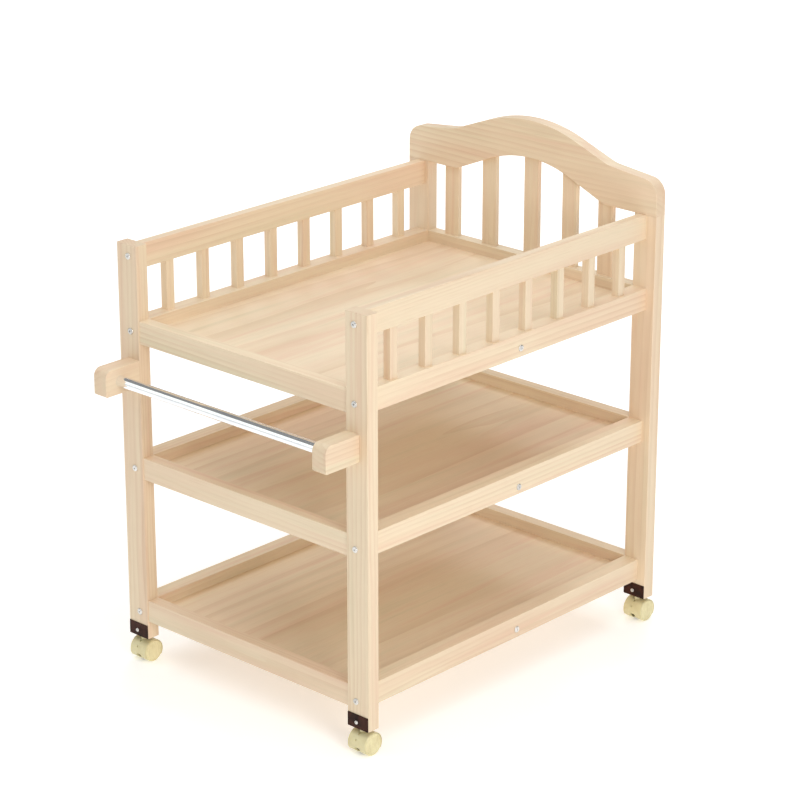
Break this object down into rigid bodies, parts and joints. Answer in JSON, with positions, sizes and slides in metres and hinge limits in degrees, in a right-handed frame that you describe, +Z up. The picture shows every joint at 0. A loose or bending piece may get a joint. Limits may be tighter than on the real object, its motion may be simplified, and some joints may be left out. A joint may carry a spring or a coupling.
{
  "type": "changing table",
  "caption": "Wooden changing table with a fenced tray, arched slatted headboard, open shelves, a front towel bar and swivelling twin-wheel casters.",
  "frame": {"origin": "on the floor under the middle of the table's outline", "axes": "+X to the right seen from the towel bar, +Y towards the headboard, +Z up"},
  "size_m": [0.664, 0.9622, 1.0205],
  "materials": {
    "pine": "clear satin lacquer on pine, grain along each piece",
    "pine_board": "clear satin lacquer on glued-up pine board",
    "beech": "raw beech dowel",
    "chrome": "polished",
    "zinc_steel": "bright zinc plate",
    "brown_enamel": "dark brown enamel",
    "hood_plastic": "ivory moulded plastic",
    "wheel_plastic": "ivory moulded plastic"
  },
  "bodies": {
    "table": {"arm_bolts": "zinc_steel", "barrel_nuts": "zinc_steel", "bottom_panel": "pine_board", "bottom_rail_front": "pine", "bottom_rail_left": "pine", "bottom_rail_rear": "pine", "bottom_rail_right": "pine", "caster_front_left_plate": "brown_enamel", "caster_front_right_plate": "brown_enamel", "caster_pins": "zinc_steel", "caster_rear_left_plate": "brown_enamel", "caster_rear_right_plate": "brown_enamel", "guard_rail_left": "pine", "guard_rail_right": "pine", "guard_slats_left": "pine", "guard_slats_right": "pine", "headboard_board": "pine", "headboard_dowels": "beech", "headboard_slat_1": "pine", "headboard_slat_2": "pine", "headboard_slat_3": "pine", "headboard_slat_4": "pine", "headboard_slat_5": "pine", "middle_panel": "pine_board", "middle_rail_front": "pine", "middle_rail_left": "pine", "middle_rail_rear": "pine", "middle_rail_right": "pine", "plate_screws": "zinc_steel", "post_bolts": "zinc_steel", "post_front_left": "pine", "post_front_right": "pine", "post_rear_left": "pine", "post_rear_right": "pine", "rail_dowels": "beech", "shelf_screws": "zinc_steel", "towel_arm_left": "pine", "towel_arm_right": "pine", "towel_bar": "chrome", "tray_panel": "pine_board", "tray_rail_front": "pine", "tray_rail_left": "pine", "tray_rail_rear": "pine", "tray_rail_right": "pine"},
    "caster_front_left": {"caster_front_left_hood": "hood_plastic", "caster_front_left_axle": "zinc_steel"},
    "caster_front_left_wheel_left": {"caster_front_left_wheel_left": "wheel_plastic"},
    "caster_front_left_wheel_right": {"caster_front_left_wheel_right": "wheel_plastic"},
    "caster_front_right": {"caster_front_right_hood": "hood_plastic", "caster_front_right_axle": "zinc_steel"},
    "caster_front_right_wheel_left": {"caster_front_right_wheel_left": "wheel_plastic"},
    "caster_front_right_wheel_right": {"caster_front_right_wheel_right": "wheel_plastic"},
    "caster_rear_left": {"caster_rear_left_hood": "hood_plastic", "caster_rear_left_axle": "zinc_steel"},
    "caster_rear_left_wheel_left": {"caster_rear_left_wheel_left": "wheel_plastic"},
    "caster_rear_left_wheel_right": {"caster_rear_left_wheel_right": "wheel_plastic"},
    "caster_rear_right": {"caster_rear_right_hood": "hood_plastic", "caster_rear_right_axle": "zinc_steel"},
    "caster_rear_right_wheel_left": {"caster_rear_right_wheel_left": "wheel_plastic"},
    "caster_rear_right_wheel_right": {"caster_rear_right_wheel_right": "wheel_plastic"}
  },
  "joints": [
    {"name": "caster_front_left_swivel", "type": "hinge", "parent": "table", "child": "caster_front_left", "pos_m": [-0.30475, -0.3732, 0.0505], "axis": [0, 0, 1], "continuous": true},
    {"name": "caster_front_left_wheel_left_roll", "type": "hinge", "parent": "caster_front_left", "child": "caster_front_left_wheel_left", "pos_m": [-0.30475, -0.3692, 0.0225], "axis": [1, 0, 0], "continuous": true},
    {"name": "caster_front_left_wheel_right_roll", "type": "hinge", "parent": "caster_front_left", "child": "caster_front_left_wheel_right", "pos_m": [-0.30475, -0.3692, 0.0225], "axis": [1, 0, 0], "continuous": true},
    {"name": "caster_front_right_swivel", "type": "hinge", "parent": "table", "child": "caster_front_right", "pos_m": [0.30475, -0.3732, 0.0505], "axis": [0, 0, 1], "continuous": true},
    {"name": "caster_front_right_wheel_left_roll", "type": "hinge", "parent": "caster_front_right", "child": "caster_front_right_wheel_left", "pos_m": [0.30475, -0.3692, 0.0225], "axis": [1, 0, 0], "continuous": true},
    {"name": "caster_front_right_wheel_right_roll", "type": "hinge", "parent": "caster_front_right", "child": "caster_front_right_wheel_right", "pos_m": [0.30475, -0.3692, 0.0225], "axis": [1, 0, 0], "continuous": true},
    {"name": "caster_rear_left_swivel", "type": "hinge", "parent": "table", "child": "caster_rear_left", "pos_m": [-0.30475, 0.4586, 0.0505], "axis": [0, 0, 1], "continuous": true},
    {"name": "caster_rear_left_wheel_left_roll", "type": "hinge", "parent": "caster_rear_left", "child": "caster_rear_left_wheel_left", "pos_m": [-0.30475, 0.4626, 0.0225], "axis": [1, 0, 0], "continuous": true},
    {"name": "caster_rear_left_wheel_right_roll", "type": "hinge", "parent": "caster_rear_left", "child": "caster_rear_left_wheel_right", "pos_m": [-0.30475, 0.4626, 0.0225], "axis": [1, 0, 0], "continuous": true},
    {"name": "caster_rear_right_swivel", "type": "hinge", "parent": "table", "child": "caster_rear_right", "pos_m": [0.30475, 0.4586, 0.0505], "axis": [0, 0, 1], "continuous": true},
    {"name": "caster_rear_right_wheel_left_roll", "type": "hinge", "parent": "caster_rear_right", "child": "caster_rear_right_wheel_left", "pos_m": [0.30475, 0.4626, 0.0225], "axis": [1, 0, 0], "continuous": true},
    {"name": "caster_rear_right_wheel_right_roll", "type": "hinge", "parent": "caster_rear_right", "child": "caster_rear_right_wheel_right", "pos_m": [0.30475, 0.4626, 0.0225], "axis": [1, 0, 0], "continuous": true}
  ]
}
